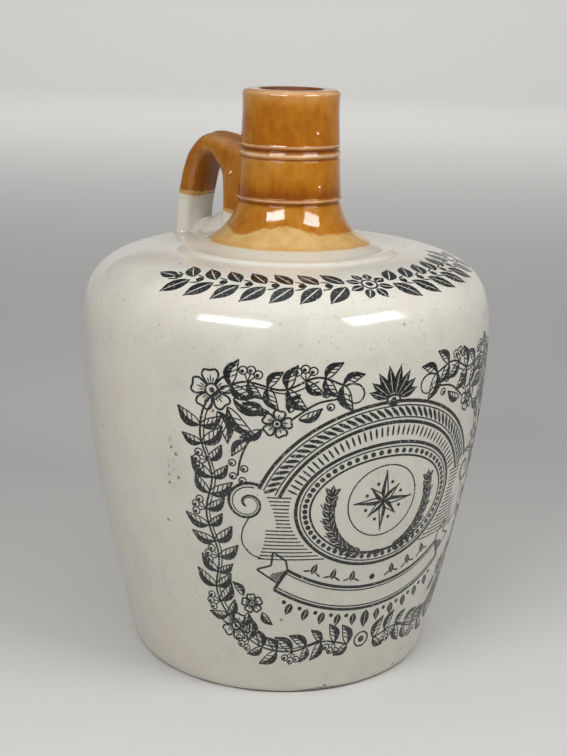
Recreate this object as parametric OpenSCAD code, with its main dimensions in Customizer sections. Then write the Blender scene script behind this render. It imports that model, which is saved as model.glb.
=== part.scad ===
// Stoneware crock jug with a dip-glazed bottle neck and a one-finger strap handle.
// The jug stands on z = 0 with its axis on z, and the handle lies along +y.
// All lengths are in millimetres.

/* [Lower pot] */
// Radius of the flat foot, inside the foot's bevel
foot_r = 53; // [45:0.1:58]
// Height of the bevel round the foot
foot_bevel = 1.8; // [1:0.1:4]
// Largest radius of the jug, at the seam between the two pots
belly_r = 72; // [66:0.1:80]
// Height of the seam between the lower pot and the shoulder
seam_z = 119; // [100:1:135]
// Thickness of the thrown walls
wall_t = 6.5; // [5:0.1:8]
// Thickness of the floor
floor_t = 8; // [5:0.1:12]
// Radius of the fillet between the floor and the wall, inside
floor_fillet = 9; // [4:0.5:14]

/* [Shoulder] */
// Rise of the shoulder from the seam to the edge of the neck's collar
shoulder_rise = 26.5; // [20:0.1:34]
// Overlap of the shoulder's tongue inside the lower pot's rim
lap_h = 5; // [3:0.5:8]
// Width of the ledge round the throat that the collar rests on
ledge_w = 8.5; // [6:0.1:11]

/* [Neck] */
// Radius of the collar disc at the foot of the neck
collar_r = 38.5; // [36:0.1:42]
// Height of the collar's edge above the shoulder
collar_step = 1.2; // [0.6:0.1:2]
// Thickness of the collar disc where it rests on the shoulder
collar_t = 3.5; // [3:0.1:4]
// Height of the neck from the collar's face to the top of the lip
neck_h = 53.3; // [48:0.1:62]
// Radius of the neck's wall under the lip
neck_top_r = 16.7; // [15:0.1:18]
// Radius of the neck's wall over the lowest ridge
neck_low_r = 18; // [17:0.1:19]
// Radius of the flared foot of the neck, where it meets the collar's face
flare_r = 34; // [30:0.1:36]
// Radius of the mouth's bore
bore_r = 9.5; // [8:0.1:11]
// Length of the straight bore below the lip's inner round
bore_len = 38; // [25:1:42]

/* [Lip and ridges] */
// How far the lip's edge stands out from the neck's wall
lip_out = 0.2; // [0:0.05:1]
// Radius of the lip's outer round
lip_round = 1.8; // [1:0.1:2.4]
// Radius of the lip's inner round
lip_inner_round = 2.8; // [1.5:0.1:3.5]
// Drop from the lip's top to the crest of the upper ridge of the pair
ridge_a_drop = 18.4; // [14:0.1:20]
// Distance between the crests of the pair
ridge_gap = 2.9; // [2.9:0.1:6]
// Drop from the lip's top to the crest of the single ridge over the flare
ridge_c_drop = 36.4; // [32:0.1:38]
// How far a ridge of the pair stands out from the wall
ridge_out = 0.2; // [0.1:0.05:1]
// How far the single ridge stands out from the wall
ridge_c_out = 0.7; // [0.2:0.05:1.2]
// Depth of the groove under each ridge
groove_in = 0.55; // [0.1:0.05:0.8]
// Half of a ridge's height
ridge_half = 0.9; // [0.6:0.05:0.9]

/* [Handle] */
// Width of the strap, across the jug's middle plane
strap_w = 16.4; // [12:0.2:20]
// Radius of the rounds along the strap's edges
strap_round = 4.2; // [2:0.1:5]
// Thickness of the outer leg at its foot
leg_t = 7.3; // [6:0.1:9]
// Distance from the collar's edge out to the outer leg's foot
leg_off = 4.8; // [3:0.1:7]
// Height of the top of the arch above the collar's face
arch_h = 36.2; // [34:0.1:40]
// Thickness of the near leg, from the neck's wall to the finger loop
near_leg_t = 8; // [6:0.1:9]
// Height of the finger loop above the collar's face
loop_h = 29; // [22:0.1:30]
// Height of the clay pad above the collar's face, at the outer leg
pad_h = 4.4; // [2:0.1:6]
// Width of the clay pad where it is smeared out widest
pad_w = 27; // [20:0.5:32]

/* [Slip] */
// Thickness of the slip in the seam between the two pots
seam_slip = 0.8; // [0.4:0.1:1.5]
// Thickness of the slip under the collar
collar_slip = 0.5; // [0.3:0.1:1]
// Clearance between curved or nested faces of luted pieces
fit_gap = 0.2; // [0.1:0.05:0.3]

/* [Hidden] */
$fn = 96;

// Steps of the curved profiles, of a quarter round and of a ridge
curve_steps = 20;
round_steps = 6;
// Points round each edge of the strap, and stations between two of its places
edge_steps = 6;
strap_steps = 5;
// Steps of the pad along the jug's radius and across
pad_long_steps = 10;
pad_wide_steps = 12;
// Overrun of every cut past the face that it leaves
over = 1;

split_r = belly_r - wall_t / 2;
collar_z = seam_z + shoulder_rise + collar_step;
seat_z = collar_z - collar_t - collar_slip;
lip_z = collar_z + neck_h;
throat_r = collar_r - ledge_w;
// The near and far sides of the finger loop, and the outside of the outer leg
loop_near = neck_low_r + near_leg_t;
loop_far = collar_r + leg_off;
handle_reach = loop_far + leg_t;
// The shoulder's underside, where the throat opens into it
ceiling_z = seam_z + shoulder_rise - wall_t;

// Shares of the lower pot's rise and bulge at the handles of its side curve
side_low_share = 0.37;
side_low_out_share = 0.54;
side_high_share = 0.66;
// Shares of the shoulder's rise and run at the handles of its curve
shoulder_up_share = 0.61;
shoulder_in_share = 0.14;
// Shares of the flare's height and run at the handles of its curve
flare_down_share = 0.4;
flare_down_out_share = 0.11;
flare_low_share = 0.13;
flare_low_out_share = 0.3;
// Where a ridge's groove begins and ends, and the flare begins, as shares of half a ridge
groove_from_share = 0.95;
groove_to_share = 2.1;
flare_from_share = 2.3;
// Places down a ridge and its groove where its profile has a point, as shares of half a ridge
ridge_share = [-1, -0.6, -0.2, 0.2, 0.6, groove_from_share, 1.2, 1.52, 1.84, groove_to_share];
// Shares of the throat's height and run at the handles of its inside curve
throat_share = 0.45;

// A point of the cubic curve with ends a and d and handles b and c
function bend(a, b, c, d, t) =
    pow(1 - t, 3) * a + 3 * pow(1 - t, 2) * t * b + 3 * (1 - t) * t * t * c + pow(t, 3) * d;
// The whole cubic curve, from a to d
function curve(a, b, c, d, steps) = [for (i = [0 : steps]) bend(a, b, c, d, i / steps)];
// A round of radius r about c, from angle a0 to a1
function arc(c, r, a0, a1) =
    [for (i = [0 : round_steps]) let (a = a0 + (a1 - a0) * i / round_steps) c + r * [cos(a), sin(a)]];
// A list of points from its end to its start
function back(list) = [for (i = [len(list) - 1 : -1 : 0]) list[i]];
// A curve through every point of a list, at place t from 0 to its last index
function through(list, t) =
    let (
        i = min(floor(t), len(list) - 2),
        u = t - i,
        b = list[i],
        c = list[i + 1],
        a = i > 0 ? list[i - 1] : 2 * b - c,
        d = i < len(list) - 2 ? list[i + 2] : 2 * c - b
    )
    b + 0.5 * u * (c - a + u * (2 * a - 5 * b + 4 * c - d + u * (3 * (b - c) + d - a)));

// Side of the lower pot, from the bevel up to the seam, moved in by "inset"
foot_edge_r = foot_r + foot_bevel;
function side(inset) = curve(
    [foot_edge_r - inset, foot_bevel],
    [foot_edge_r + (belly_r - foot_edge_r) * side_low_out_share - inset,
        foot_bevel + (seam_z - foot_bevel) * side_low_share],
    [belly_r - inset, foot_bevel + (seam_z - foot_bevel) * side_high_share],
    [belly_r - inset, seam_z],
    curve_steps);
// The shoulder's outside, from the seam in to the collar
rim_r = collar_r + fit_gap;
function dome(inset) = curve(
    [belly_r - inset, seam_z],
    [belly_r - inset, seam_z + shoulder_rise * shoulder_up_share],
    [belly_r - (belly_r - rim_r) * shoulder_in_share - inset, seam_z + shoulder_rise - inset],
    [rim_r, seam_z + shoulder_rise - inset],
    curve_steps);

// The neck's wall radius at a drop below the lip
wall_drop = ridge_c_drop - ridge_half;
function neck_wall(drop) =
    neck_top_r + (neck_low_r - neck_top_r) * max(0, drop - ridge_a_drop / 2) / (wall_drop - ridge_a_drop / 2);
ridge_b_drop = ridge_a_drop + ridge_gap;
// A ridge with its groove below, as points from the top down
function ridge(drop, out) = [
    for (s = ridge_share)
        let (
            crest = abs(s) < 1 ? out * (1 + cos(180 * s)) / 2 : 0,
            turn = 360 * (s - groove_from_share) / (groove_to_share - groove_from_share),
            groove = s > groove_from_share ? groove_in * (1 - cos(turn)) / 2 : 0
        )
        [neck_wall(drop) + crest - groove, lip_z - drop - s * ridge_half]
];
flare_top_z = lip_z - ridge_c_drop - flare_from_share * ridge_half;
flare_drop = flare_top_z - collar_z;
flare_run = flare_r - neck_low_r;
flare = curve(
    [neck_low_r, flare_top_z],
    [neck_low_r + flare_run * flare_down_out_share, collar_z + flare_drop * (1 - flare_down_share)],
    [neck_low_r + flare_run * flare_low_out_share, collar_z + flare_drop * flare_low_share],
    [flare_r, collar_z],
    curve_steps);

// Everything inside this outline is kept clear by the handle and its pad
keep_out = concat(
    [[0, seam_z]],
    dome(0),
    [[rim_r, collar_z], [flare_r, collar_z]],
    [for (p = back(flare)) if (p[0] > neck_low_r + ridge_c_out + groove_in) p],
    [
        [neck_low_r + ridge_c_out, lip_z - ridge_c_drop],
        [neck_wall(ridge_b_drop) + ridge_out, lip_z - ridge_b_drop],
        [neck_wall(ridge_a_drop) + ridge_out, lip_z - ridge_a_drop],
        [neck_top_r, lip_z],
        [0, lip_z]
    ]);

// Side view of the handle: places on the finger loop and across the strap from them,
// the first as shares of the loop's width and height, the second of reach and arch
loop_share = [
    [0.045, -0.1], [0.01, 0.28], [0, 0.53], [0.035, 0.76], [0.19, 0.9], [0.42, 1],
    [0.6, 0.91], [0.74, 0.75], [0.835, 0.56], [0.945, 0.265], [1, -0.15]
];
back_share = [
    [0.12, 0.5], [0.12, 0.6], [0.12, 0.7], [0.15, 0.84], [0.3, 0.93], [0.66, 1],
    [0.832, 0.851], [0.901, 0.67], [0.937, 0.5], [0.976, 0.246], [1, -0.12]
];
// Most that an edge round takes of half the strap's thickness
edge_share = 0.98;
loop_side = [for (s = loop_share) [loop_near + (loop_far - loop_near) * s[0], collar_z + loop_h * s[1]]];
back_side = [for (s = back_share) [handle_reach * s[0], collar_z + arch_h * s[1]]];

// One ring of the strap, grown by "grow": its section runs from a point on the loop
// to one on the back and has rounded edges
function strap_ring(t, grow) =
    let (
        a = through(loop_side, t),
        b = through(back_side, t),
        half = norm(a - b) / 2,
        edge = min(strap_round, half * edge_share),
        flats = [half - edge, strap_w / 2 - edge]
    )
    [for (corner = [0 : 3], i = [0 : edge_steps])
        let (
            turn = 90 * (corner + i / edge_steps),
            side = [corner == 0 || corner == 3 ? 1 : -1, corner < 2 ? 1 : -1],
            along = side[0] * flats[0] + (edge + grow) * cos(turn),
            across = side[1] * flats[1] + (edge + grow) * sin(turn),
            m = (a + b) / 2 + (a - b) / (2 * half) * along
        )
        [across, m[0], m[1]]
    ];
strap_end = len(loop_side) - 1;
function strap(grow) = [for (i = [0 : strap_end * strap_steps]) strap_ring(i / strap_steps, grow)];

// The clay pad along the jug's radius: crest as shares of its height, then half width
// as shares of its widest
pad_crest_share = [2.6, 2.15, 1.65, 1.25, 1.06, 1];
pad_half_share = [0.55, 0.72, 0.9, 1, 0.95, 0.7];
// Exponent of the pad's smeared crest: more is steeper
pad_power = 1.6;
pad_near = loop_near - strap_round / 2;
pad_far = loop_far + strap_round / 2;

// A closed solid from a list of rings with the same number of points
module skin(rings) {
    n = len(rings[0]);
    last = len(rings) - 1;
    points = [for (ring = rings, p = ring) p];
    walls = [
        for (j = [0 : last - 1], i = [0 : n - 1])
            let (k = (i + 1) % n)
            each [[j * n + i, j * n + k, (j + 1) * n + i], [j * n + k, (j + 1) * n + k, (j + 1) * n + i]]
    ];
    caps = [[for (i = [n - 1 : -1 : 0]) i], [for (i = [0 : n - 1]) last * n + i]];
    polyhedron(points, concat(walls, caps), convexity = 6);
}

module ring(inner, outer, low, high) {
    difference() {
        translate([0, 0, low]) cylinder(r = outer, h = high - low);
        translate([0, 0, low - over]) cylinder(r = inner, h = high - low + 2 * over);
    }
}

// Thrown lower pot: flat foot, side up to the seam, and a rim cut back inside for the lap
module lower_pot() {
    inner_foot_r = foot_edge_r - wall_t;
    fillet_c = [inner_foot_r - floor_fillet, floor_t + floor_fillet];
    color("gainsboro") rotate_extrude() polygon(concat(
        [[0, 0], [foot_r, 0]],
        [for (p = side(0)) if (p[1] < seam_z) p],
        [
            [belly_r, seam_z - seam_slip / 2],
            [split_r, seam_z - seam_slip / 2],
            [split_r, seam_z - lap_h],
            [belly_r - wall_t, seam_z - lap_h]
        ],
        [for (p = back(side(wall_t))) if (p[1] < seam_z - lap_h && p[1] > floor_t + floor_fillet) p],
        arc(fillet_c, floor_fillet, 0, -90),
        [[0, floor_t]]
    ));
}

// Slip squeezed into the seam at the belly
module belly_slip() {
    color("gainsboro") ring(split_r, belly_r, seam_z - seam_slip / 2, seam_z + seam_slip / 2);
}

// Thrown shoulder: tongue inside the lower pot's rim, dome, and a seat for the collar
module shoulder() {
    color("gainsboro") rotate_extrude() polygon(concat(
        [
            [belly_r - wall_t, seam_z - lap_h + fit_gap],
            [split_r - fit_gap, seam_z - lap_h + fit_gap],
            [split_r - fit_gap, seam_z + seam_slip / 2],
            [belly_r, seam_z + seam_slip / 2]
        ],
        [for (p = dome(0)) if (p[1] > seam_z + seam_slip) p],
        [[rim_r, seat_z], [throat_r, seat_z], [throat_r, ceiling_z]],
        [for (p = back(dome(wall_t))) if (p[1] > seam_z) p]
    ));
}

// Slip between the collar and its seat
module collar_slip_ring() {
    color("gainsboro") ring(throat_r, collar_r, seat_z, seat_z + collar_slip);
}

// Neck: bored lip, wall with three ridges, flared foot, collar disc and spigot
module neck() {
    lip_r = neck_top_r + lip_out;
    bore_low_z = lip_z - lip_inner_round - bore_len;
    spigot_r = throat_r - fit_gap;
    color("peru") rotate_extrude() polygon(concat(
        arc([bore_r + lip_inner_round, lip_z - lip_inner_round], lip_inner_round, 180, 90),
        arc([lip_r - lip_round, lip_z - lip_round], lip_round, 90, 0),
        [[neck_top_r, lip_z - 2 * lip_round], [neck_top_r, lip_z - ridge_a_drop / 2]],
        ridge(ridge_a_drop, ridge_out),
        ridge(ridge_b_drop, ridge_out),
        ridge(ridge_c_drop, ridge_c_out),
        flare,
        arc([collar_r - collar_step / 2, collar_z - collar_step / 2], collar_step / 2, 90, 0),
        [
            [collar_r, seat_z + collar_slip],
            [spigot_r, seat_z + collar_slip],
            [spigot_r, ceiling_z]
        ],
        curve(
            [throat_r - wall_t / 2, ceiling_z],
            [throat_r * (1 - throat_share), ceiling_z],
            [bore_r, bore_low_z - (bore_low_z - ceiling_z) * throat_share],
            [bore_r, bore_low_z],
            round_steps)
    ));
}

// Everything that the handle and its pad must clear: neck, collar and shoulder
module luted_side() {
    rotate_extrude() polygon([for (p = keep_out) p[0] > 0 ? p + [fit_gap, fit_gap] : p]);
}

// Strap handle: a leg down the neck, an arch, and an outer leg down to the shoulder
module handle() {
    color("chocolate") difference() {
        skin(strap(0));
        luted_side();
    }
}

// One ring of the pad, at place t of its share lists: a smeared crest over a flat base
function pad_ring(t, y, base_z) =
    let (
        shares = through([for (i = [0 : len(pad_crest_share) - 1]) [pad_crest_share[i], pad_half_share[i]]], t),
        half = pad_w / 2 * shares[1]
    )
    concat(
        [for (i = [0 : pad_wide_steps])
            let (u = 1 - 2 * i / pad_wide_steps)
            [half * u, y, base_z + (pad_h * shares[0] + collar_step) * pow(cos(90 * u), pad_power)]
        ],
        [[-half, y, base_z - pad_h], [half, y, base_z - pad_h]]
    );

// Clay pad pressed down between the handle's two feet
module handle_pad() {
    last = len(pad_crest_share) - 1;
    color("gainsboro") difference() {
        skin([for (j = [0 : pad_long_steps])
            pad_ring(
                last * j / pad_long_steps,
                pad_near + (pad_far - pad_near) * j / pad_long_steps,
                collar_z - collar_step)
        ]);
        skin(strap(fit_gap));
        luted_side();
    }
}

lower_pot();
belly_slip();
shoulder();
collar_slip_ring();  // collar_slip
neck();
handle();
handle_pad();
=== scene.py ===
# Stoneware crock jug: smooth glazed surfaces, a transfer print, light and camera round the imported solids.
# Lengths are millimetres in the frame of the solids: z up the jug's axis, +y to the handle.
from functools import partial
import bpy
import numpy as np
from mathutils import Matrix, Vector


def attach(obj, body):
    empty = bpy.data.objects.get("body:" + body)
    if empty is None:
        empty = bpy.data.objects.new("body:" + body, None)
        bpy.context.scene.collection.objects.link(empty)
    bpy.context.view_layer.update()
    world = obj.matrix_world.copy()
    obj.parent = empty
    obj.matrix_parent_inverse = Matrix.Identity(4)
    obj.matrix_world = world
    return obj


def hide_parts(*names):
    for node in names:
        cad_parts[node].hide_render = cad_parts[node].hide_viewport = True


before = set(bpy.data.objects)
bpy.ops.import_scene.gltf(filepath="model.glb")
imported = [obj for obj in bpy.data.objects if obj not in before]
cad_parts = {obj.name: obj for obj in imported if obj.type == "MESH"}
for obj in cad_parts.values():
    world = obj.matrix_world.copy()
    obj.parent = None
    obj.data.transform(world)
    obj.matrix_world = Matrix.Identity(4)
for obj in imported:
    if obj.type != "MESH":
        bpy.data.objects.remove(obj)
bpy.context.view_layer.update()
mm = 0.001
turnSteps = 288   # steps round the axis, 1.6 mm at the belly
aroundDeg = np.linspace(0, 360, turnSteps, endpoint=False)[None, :]   # the bearing of each

jug = {
    "footR": 53.0, "footBevel": 1.8, "bellyR": 72.0, "seamZ": 119.0, "wall": 6.5,
    "floor": 8.0, "floorFillet": 9.0, "rise": 26.5, "lap": 5.0, "ledge": 8.5,
    "collarR": 38.5, "collarStep": 1.2, "collarT": 3.5, "seamSlip": 0.8, "collarSlip": 0.5, "fit": 0.2,
    "poleR": 2.0, "poleFade": 12.0,   # where the foot and the floor start, and where they are uneven in full
}
collarZ = jug["seamZ"] + jug["rise"] + jug["collarStep"]
footEdgeR = jug["footR"] + jug["footBevel"]
rimR = jug["collarR"] + jug["fit"]
throatR = jug["collarR"] - jug["ledge"]
splitR = jug["bellyR"] - jug["wall"] / 2
seatZ = collarZ - jug["collarT"] - jug["collarSlip"]
ceilingZ = jug["seamZ"] + jug["rise"] - jug["wall"]


# Curves

def bezier(a, b, c, d, steps):
    # a cubic curve: its ends a and d and its handles b and c, weighted by the cubic terms of 1 - t and t
    t = np.linspace(0, 1, steps)[:, None]
    a, b, c, d = (np.array(p, float) for p in (a, b, c, d))
    return (1 - t) ** 3 * a + 3 * (1 - t) ** 2 * t * b + 3 * (1 - t) * t * t * c + t ** 3 * d


def polar(x, y, reach, deg):
    # the place at a reach and a bearing from another: the reach times the cosine and the sine of the bearing
    a = np.radians(deg)
    return x + reach * np.cos(a), y + reach * np.sin(a)


def roundOf(centre, radius, fromDeg, toDeg, steps=12):
    # a round: the places at its radius over even steps of the bearing
    return np.column_stack(polar(*centre, radius, np.linspace(fromDeg, toDeg, steps)))


def through(points, t):
    # a smooth curve through every point: between two of them, a cubic whose slope at each is half the step
    # from the point before it to the point after it
    p = np.array(points, float)
    p = np.vstack([2 * p[0] - p[1], p, 2 * p[-1] - p[-2]])
    i = np.clip(np.floor(t).astype(int), 0, len(p) - 4)
    u = (t - i)[:, None]
    a, b, c, d = p[i], p[i + 1], p[i + 2], p[i + 3]
    return b + 0.5 * u * (c - a + u * (2 * a - 5 * b + 4 * c - d + u * (3 * (b - c) + d - a)))


def resample(points, step):
    # the same line with its points an even distance apart, measured along it
    p = np.array(points, float)
    s = np.r_[0, np.cumsum(np.linalg.norm(np.diff(p, axis=0), axis=1))]
    q = np.linspace(0, s[-1], max(2, int(round(s[-1] / step)) + 1))
    return np.stack([np.interp(q, s, p[:, k]) for k in range(p.shape[1])], 1)


def smoothStep(x, low, high):
    # three t squared less two t cubed, with t from 0 at low to 1 at high
    t = np.clip((x - low) / (high - low), 0, 1)
    return t * t * (3 - 2 * t)


def bell(x, centre, width):
    # e to the power of minus the square of the distance from the centre over the width
    return np.exp(-((x - centre) / width) ** 2)


def degreesFrom(centre, deg):
    # how far a bearing is from a centre, from -180 to 180 degrees
    return (deg - centre + 180) % 360 - 180


# Meshes

def newPiece(name, places, faces, smooth):
    # a mesh from places in mm and faces, in an object at the origin
    mesh = bpy.data.meshes.new(name)
    mesh.from_pydata((places * mm).tolist(), [], faces)
    mesh.polygons.foreach_set("use_smooth", np.full(len(faces), smooth))
    mesh.update()
    piece = bpy.data.objects.new(name, mesh)
    bpy.context.scene.collection.objects.link(piece)
    return piece


def ringFaces(rings, around, first=0):
    # four-sided faces over an open row of rings: each joins a place, the two beside it in the next ring and
    # its neighbour, and looks out as the cross product of along and round does
    i, j = np.arange(rings - 1)[:, None] * around + first, np.arange(around)[None, :]
    k = (j + 1) % around
    return np.stack([i + j, i + around + j, i + around + k, i + k], -1).reshape(-1, 4).tolist()


def gridMesh(name, points, closedRow=False, sharpRings=(), values=None):
    # a skin over a row of closed rings, points[ring, place] in mm: each face joins four neighbours and looks
    # out as the cross product of round and along does; an open row is closed at both ends by a fan to a pole,
    # the mean of its end ring
    rings, around = points.shape[:2]
    i = np.arange(rings if closedRow else rings - 1)[:, None]
    j = np.arange(around)[None, :]
    iNext, jNext = (i + 1) % rings, (j + 1) % around
    faces = np.stack([i * around + j, i * around + jNext, iNext * around + jNext, iNext * around + j], -1)
    faces = faces.reshape(-1, 4).tolist()
    places = points.reshape(-1, 3)
    if not closedRow:
        places = np.vstack([places, points[0].mean(0), points[-1].mean(0)])
        j, k, last, pole = j[0], jNext[0], (rings - 1) * around, np.full(around, rings * around)
        faces += np.stack([k, j, pole], -1).tolist() + np.stack([last + j, last + k, pole + 1], -1).tolist()
    piece = newPiece(name, places, faces, True)
    mesh = piece.data
    for label, value in (values or {}).items():
        value = (value + np.zeros((rings, around))).astype(np.float32)
        ends = [] if closedRow else [value[0].mean(), value[-1].mean()]
        mesh.attributes.new(label, "FLOAT", "POINT").data.foreach_set("value", np.r_[value.ravel(), ends])
    if len(sharpRings):
        pairs = np.empty(len(mesh.edges) * 2, int)
        mesh.edges.foreach_get("vertices", pairs)
        ring = pairs.reshape(-1, 2) // around
        sharp = (ring[:, 0] == ring[:, 1]) & np.isin(ring[:, 0], sharpRings)
        mesh.attributes.new("sharp_edge", "BOOLEAN", "EDGE").data.foreach_set("value", sharp)
    mesh.update()
    return piece


thrown = {
    # how uneven the pots are: two and three lobes, fine and broad rings with their height over 2 pi, and the
    # heights over which it comes in from the foot and goes out to the collar
    "twoLobes": 0.12, "threeLobes": 0.05, "fineRing": 0.01, "fineHigh": 1.55,
    "broadRing": 0.015, "broadHigh": 3.7, "fadeIn": (2, 20), "fadeOut": (128, 143),
    # a nick in the glaze at the belly's seam: bearing, height, how far it stands out, half width in degrees,
    # its upper edge and its run below
    "nickDeg": -221.0, "nickZ": 119.8, "nickOut": 0.45, "nickWide": 2.2,
    "nickEdge": (-0.5, 0.1), "nickRun": 1.2,
}


def wobble(theta, z):
    # thrown clay: cosines round the axis, sines round and up it, which make rings that climb like a screw,
    # and the nick, a bell round the axis that is sharp on its upper side and dies away below
    w = thrown
    lobes = w["twoLobes"] * np.cos(2 * theta + 0.7) + w["threeLobes"] * np.cos(3 * theta - 1.1)
    fine = w["fineRing"] * np.sin(z / w["fineHigh"] + theta)
    broad = w["broadRing"] * np.sin(z / w["broadHigh"] - theta + 1.3)
    free = smoothStep(z, *w["fadeIn"]) * (1 - smoothStep(z, *w["fadeOut"]))
    below = w["nickZ"] - z
    nick = w["nickOut"] * bell(degreesFrom(w["nickDeg"], np.degrees(theta)), 0, w["nickWide"])
    nick = nick * smoothStep(below, *w["nickEdge"]) * np.exp(-np.maximum(below, 0) / w["nickRun"])
    return (lobes + fine + broad) * free + nick


def turned(name, profile, closedRow, sharpRings=(), values=None, offset=None):
    # a surface of revolution: radius times the cosine and the sine of the turn, and the height, for an
    # outline of radius and height that runs anticlockwise; the radius grows by the offset, else by the wobble
    theta, r, z = np.radians(aroundDeg), profile[:, None, 0], profile[:, None, 1]
    out = r + (wobble(theta, z) * smoothStep(r, jug["poleR"], jug["poleFade"]) if offset is None else offset)
    points = np.stack([out * np.cos(theta), out * np.sin(theta), z + 0 * theta], -1)
    return gridMesh(name, points, closedRow, sharpRings, values)


print("stage: curves ready")


# Lower pot, shoulder and the slip in their seams

glazeFoot = {
    # the glaze's lower edge: height, ripple, and a chipped patch by its bearing, half width and height
    "line": 0.6, "ripple": 0.15, "chipDeg": -122.0, "chipWide": 11.0, "chipHigh": 1.3,
    # a trail of iron specks up the side, by its bearing, height, half width and half length
    "trailDeg": -170.0, "trailZ": 87.0, "trailWide": 3.0, "trailHigh": 17.0,
}


def sideLine(inset, steps=110):
    # the lower pot's side: a cubic curve from the foot's bevel, out and up to the seam at the belly
    rise, bulge = jug["seamZ"] - jug["footBevel"], jug["bellyR"] - footEdgeR
    return bezier(
        (footEdgeR - inset, jug["footBevel"]),
        (footEdgeR + bulge * 0.54 - inset, jug["footBevel"] + rise * 0.37),
        (jug["bellyR"] - inset, jug["footBevel"] + rise * 0.66),
        (jug["bellyR"] - inset, jug["seamZ"]), steps)


def domeLine(inset, steps=90):
    # the shoulder: a cubic curve from the belly's seam, straight up and then in, level, to the collar
    top = jug["seamZ"] + jug["rise"] - inset
    return bezier(
        (jug["bellyR"] - inset, jug["seamZ"]),
        (jug["bellyR"] - inset, jug["seamZ"] + jug["rise"] * 0.61),
        (jug["bellyR"] - (jug["bellyR"] - rimR) * 0.14 - inset, top),
        (rimR, top), steps)


def outlineOf(parts):
    # joins the parts into one closed outline and returns it with the index of the last point of each part
    return np.vstack(parts), list(np.cumsum([len(p) for p in parts]) - 1)


def makeLowerPot():
    # turned outline: foot, bevel, side, stepped rim, inner side, fillet and floor, with a pole at each end;
    # clay is bare below the glaze's edge, and the trail is a bell round the belly, with the power 4 up it
    g = glazeFoot
    seamLow = jug["seamZ"] - jug["seamSlip"] / 2
    lapZ = jug["seamZ"] - jug["lap"]
    innerFootR = footEdgeR - jug["wall"]
    filletC = (innerFootR - jug["floorFillet"], jug["floor"] + jug["floorFillet"])
    outer, inner = sideLine(0), sideLine(jug["wall"], 50)[::-1]
    parts = [
        np.linspace((jug["poleR"], 0), (jug["footR"] - 2, 0), 20),
        bezier((jug["footR"] - 0.5, 0), (jug["footR"] + 0.7, 0), (footEdgeR - 0.35, 0.9), outer[1], 12),
        outer[(outer[:, 1] < seamLow - 0.3) & (outer[:, 1] > outer[1, 1])],
        [[jug["bellyR"], seamLow], [splitR, seamLow], [splitR, lapZ], [jug["bellyR"] - jug["wall"], lapZ]],
        inner[(inner[:, 1] < lapZ - 0.5) & (inner[:, 1] > filletC[1] + 0.5)],
        roundOf(filletC, jug["floorFillet"], 0, -90),
        np.linspace((filletC[0] - 2, jug["floor"]), (jug["poleR"], jug["floor"]), 16),
    ]
    profile, ends = outlineOf(parts)
    rim, z = ends[2], profile[:, None, 1]
    ripple = np.sin(np.radians(aroundDeg * 7)) + np.sin(np.radians(aroundDeg * 17 + 50))
    line = g["line"] + g["chipHigh"] * bell(degreesFrom(g["chipDeg"], aroundDeg), 0, g["chipWide"])
    line = line + g["ripple"] * ripple
    outside = (np.arange(len(profile)) <= rim)[:, None]
    aside = degreesFrom(g["trailDeg"], aroundDeg) * np.radians(jug["bellyR"])   # mm round the belly
    trail = bell(aside, 0, g["trailWide"]) * np.exp(-((z - g["trailZ"]) / g["trailHigh"]) ** 4)
    values = {"bare": np.where(outside, line - z, -9.0), "trail": outside * trail}
    pot = turned("lower_pot_glazed", profile, False, [rim + 1, rim + 2, rim + 3, rim + 4], values)
    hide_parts("lower_pot")
    return pot


def makeShoulder():
    # turned outline: lap, dome, a hollow fillet of glaze up against the collar, the seat and the inside
    seamTop = jug["seamZ"] + jug["seamSlip"] / 2
    lapZ = jug["seamZ"] - jug["lap"] + jug["fit"]
    top, collarR = jug["seamZ"] + jug["rise"], jug["collarR"] + 0.01
    outer, inner = domeLine(0), domeLine(jug["wall"], 50)[::-1]
    parts = [
        [[jug["bellyR"] - jug["wall"], lapZ], [splitR - jug["fit"], lapZ], [splitR - jug["fit"], seamTop],
            [jug["bellyR"], seamTop]],
        outer[(outer[:, 1] > seamTop + 0.3) & (outer[:, 0] > rimR + 2.4)],
        bezier((rimR + 2.0, top - 0.03), (rimR + 0.9, top), (collarR + 0.6, top + 0.11),
            (collarR, top + 0.45), 10),
        [[collarR, seatZ], [throatR, seatZ], [throatR, ceilingZ]],
        inner[(inner[:, 1] > jug["seamZ"] + 0.3) & (inner[:, 0] > throatR + 1)],
    ]
    profile, ends = outlineOf(parts)
    sharp = [0, 1, 2, 3, ends[2], ends[3] - 2, ends[3] - 1, ends[3]]
    dome = turned("shoulder_glazed", profile, True, sharp)
    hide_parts("shoulder")
    return dome


def makeSlip(name, node, inner, outer, low, high):
    # a thin turned ring with a flat inner and outer face
    profile = np.vstack([(inner, low), np.linspace((outer, low), (outer, high), 5), (inner, high)])
    ring = turned(name, profile, True, [0, 1, 5, 6])
    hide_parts(node)
    return ring


# Neck

neckSizes = {
    "height": 53.3, "topR": 16.7, "lowR": 18.0, "flareR": 34.0, "boreR": 9.5, "boreLen": 38.0,
    "lipOut": 0.2, "lipRound": 1.8, "lipInnerRound": 2.8, "ridgeA": 18.4, "ridgeGap": 2.9, "ridgeC": 36.4,
    "ridgeAOut": 0.14, "ridgeBOut": 0.28, "ridgeCOut": 0.7, "grooveIn": 0.5, "ridgeHalf": 0.9,
    "groove": (0.95, 2.1),   # where it starts and ends under each crest, in half widths of the ridge
    "oval": 0.05, "climb": 0.03, "climbTurn": 0.3,   # two lobes, and three that climb by this turn a mm
}
lipZ = collarZ + neckSizes["height"]
ridgeDrops = (neckSizes["ridgeA"], neckSizes["ridgeA"] + neckSizes["ridgeGap"], neckSizes["ridgeC"])
ridgeOuts = (neckSizes["ridgeAOut"], neckSizes["ridgeBOut"], neckSizes["ridgeCOut"])
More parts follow.
